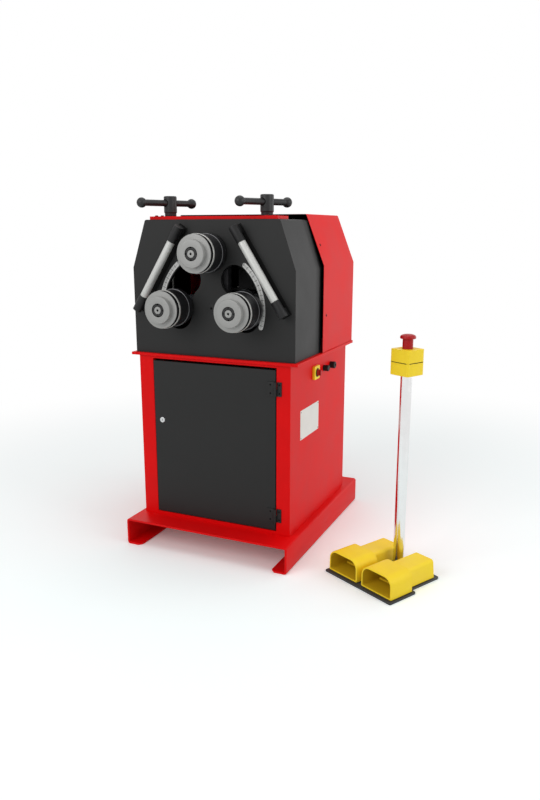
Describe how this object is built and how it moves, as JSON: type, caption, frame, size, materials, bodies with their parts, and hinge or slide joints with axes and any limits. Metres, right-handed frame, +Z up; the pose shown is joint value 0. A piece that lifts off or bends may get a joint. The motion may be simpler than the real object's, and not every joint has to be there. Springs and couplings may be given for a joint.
{
  "type": "pipe and profile bender",
  "caption": "Pipe and profile bender with driven rolls, screw-adjusted swing arms, a sheet-steel stand with a door, and a loose foot-pedal station with a stop button.",
  "frame": {"origin": "centre of the box around the machine and its pedal station, on the floor", "axes": "+Z up, +X to the operator's right, -Y towards the operator"},
  "size_m": [1.256, 0.9316, 1.4066],
  "materials": {
    "red_paint": "gloss red powder coat",
    "grey_paint": "fine dark grey powder coat",
    "cast_grey": "grey painted casting",
    "black_plastic": "moulded black plastic",
    "black_paint": "black powder coat",
    "black_steel": "blackened steel",
    "steel": "turned bright steel",
    "aluminium": "drawn tube",
    "chrome": "polished",
    "zinc": "plain light grey sheet",
    "lock_zinc": "plated lock",
    "yellow_plastic": "moulded yellow plastic",
    "red_plastic": "moulded red plastic"
  },
  "bodies": {
    "stand": {"base_frame": "red_paint", "cabinet_shell": "red_paint", "table_plate": "red_paint", "rear_cover": "red_paint", "inner_frame": "red_paint", "head_box": "grey_paint", "gearbox": "cast_grey", "motor": "cast_grey", "scale_left": "zinc", "scale_right": "zinc", "control_box": "zinc", "handle_tube_left": "aluminium", "handle_tube_right": "aluminium", "handle_end_left_upper": "black_plastic", "handle_end_left_lower": "black_plastic", "handle_end_right_upper": "black_plastic", "handle_end_right_lower": "black_plastic", "cable_gland": "black_plastic", "cable_socket": "black_plastic", "station_gland": "black_plastic", "hinge_frame_upper": "black_paint", "hinge_frame_lower": "black_paint", "station_plate": "black_paint", "station_column": "chrome", "switch_body": "yellow_plastic", "pedal_hood_left": "yellow_plastic", "pedal_hood_right": "yellow_plastic", "stop_box_lower": "yellow_plastic", "stop_box_upper": "yellow_plastic"},
    "upper_roll": {"shaft_upper": "steel", "roll_ring_upper": "steel", "roll_body_upper": "steel", "lock_nut_upper": "black_steel"},
    "drive": {"drive_shaft": "steel"},
    "left_screw": {"adjust_screw_left": "black_steel"},
    "right_screw": {"adjust_screw_right": "black_steel"},
    "left_bar": {"tommy_bar_left": "black_steel"},
    "right_bar": {"tommy_bar_right": "black_steel"},
    "left_nut": {"screw_nut_left": "steel"},
    "right_nut": {"screw_nut_right": "steel"},
    "left_arm": {"arm_left": "cast_grey", "chain_left": "black_steel"},
    "right_arm": {"arm_right": "cast_grey", "chain_right": "black_steel"},
    "left_roll": {"shaft_left": "steel", "roll_ring_left": "steel", "roll_body_left": "steel", "lock_nut_left": "black_steel"},
    "right_roll": {"shaft_right": "steel", "roll_ring_right": "steel", "roll_body_right": "steel", "lock_nut_right": "black_steel"},
    "door": {"door_panel": "grey_paint", "hinge_door_upper": "black_paint", "hinge_door_lower": "black_paint"},
    "lock": {"door_lock": "lock_zinc"},
    "switch": {"switch_knob": "red_plastic"},
    "stop": {"stop_button": "red_plastic"},
    "left_pedal": {"pedal_tread_left": "yellow_plastic"},
    "right_pedal": {"pedal_tread_right": "yellow_plastic"}
  },
  "joints": [
    {"name": "upper_spin", "type": "hinge", "parent": "stand", "child": "upper_roll", "pos_m": [-0.26549, -0.36915, 1.196], "axis": [0, 1, 0], "continuous": true},
    {"name": "drive_spin", "type": "hinge", "parent": "stand", "child": "drive", "pos_m": [-0.26549, 0.03085, 0.988], "axis": [0, 1, 0], "continuous": true},
    {"name": "left_screw_spin", "type": "hinge", "parent": "stand", "child": "left_screw", "pos_m": [-0.47149, -0.23615, 1.34], "axis": [0, 0, -1], "range_deg": [-1335, 8920]},
    {"name": "left_bar_slide", "type": "slide", "parent": "left_screw", "child": "left_bar", "axis": [0.3987, 0.9171, 0], "range_m": [-0.056, 0.085]},
    {"name": "left_nut_slide", "type": "slide", "parent": "stand", "child": "left_nut", "axis": [0, 0, 1], "range_m": [-0.0225, 0.149]},
    {"name": "left_arm_swing", "type": "hinge", "parent": "stand", "child": "left_arm", "pos_m": [-0.26549, 0.03085, 0.988], "axis": [0, 1, 0], "range_deg": [-6, 40]},
    {"name": "left_roll_spin", "type": "hinge", "parent": "left_arm", "child": "left_roll", "pos_m": [-0.41299, 0.03085, 0.988], "axis": [0, 1, 0], "continuous": true},
    {"name": "right_screw_spin", "type": "hinge", "parent": "stand", "child": "right_screw", "pos_m": [-0.05949, -0.23615, 1.34], "axis": [0, 0, -1], "range_deg": [-1335, 8920]},
    {"name": "right_bar_slide", "type": "slide", "parent": "right_screw", "child": "right_bar", "axis": [0.3987, 0.9171, 0], "range_m": [-0.056, 0.085]},
    {"name": "right_nut_slide", "type": "slide", "parent": "stand", "child": "right_nut", "axis": [0, 0, 1], "range_m": [-0.0225, 0.149]},
    {"name": "right_arm_swing", "type": "hinge", "parent": "stand", "child": "right_arm", "pos_m": [-0.26549, 0.03085, 0.988], "axis": [0, -1, 0], "range_deg": [-6, 40]},
    {"name": "right_roll_spin", "type": "hinge", "parent": "right_arm", "child": "right_roll", "pos_m": [-0.11799, 0.03085, 0.988], "axis": [0, 1, 0], "continuous": true},
    {"name": "door_swing", "type": "hinge", "parent": "stand", "child": "door", "pos_m": [0.00651, -0.31215, 0.45], "axis": [0, 0, 1], "range_deg": [0, 115]},
    {"name": "lock_turn", "type": "hinge", "parent": "door", "child": "lock", "pos_m": [-0.49629, -0.29915, 0.5257], "axis": [0, 1, 0], "range_deg": [0, 90]},
    {"name": "switch_turn", "type": "hinge", "parent": "stand", "child": "switch", "pos_m": [0.06551, -0.04565, 0.721], "axis": [1, 0, 0], "range_deg": [0, 90]},
    {"name": "stop_push", "type": "slide", "parent": "stand", "child": "stop", "axis": [0, 0, -1], "range_m": [0, 0.006]},
    {"name": "left_pedal_press", "type": "hinge", "parent": "stand", "child": "left_pedal", "pos_m": [0.40487, -0.13292, 0.026], "axis": [0.8829, -0.4695, 0], "range_deg": [0, 3.2], "stiffness_Nm_per_rad": 15, "springref_deg": -4.58},
    {"name": "right_pedal_press", "type": "hinge", "parent": "stand", "child": "right_pedal", "pos_m": [0.55585, -0.2132, 0.026], "axis": [0.8829, -0.4695, 0], "range_deg": [0, 3.2], "stiffness_Nm_per_rad": 15, "springref_deg": -4.58}
  ],
  "couplings": [
    {"joint": "drive_spin", "follows": "upper_spin", "ratio": -1},
    {"joint": "left_nut_slide", "follows": "left_screw_spin", "m_per_rad": 0.00095493},
    {"joint": "left_arm_swing", "follows": "left_screw_spin", "ratio": 0.0044832},
    {"joint": "left_roll_spin", "follows": "upper_spin", "ratio": -1},
    {"joint": "right_nut_slide", "follows": "right_screw_spin", "m_per_rad": 0.00095493},
    {"joint": "right_arm_swing", "follows": "right_screw_spin", "ratio": 0.0044832},
    {"joint": "right_roll_spin", "follows": "upper_spin", "ratio": -1}
  ]
}
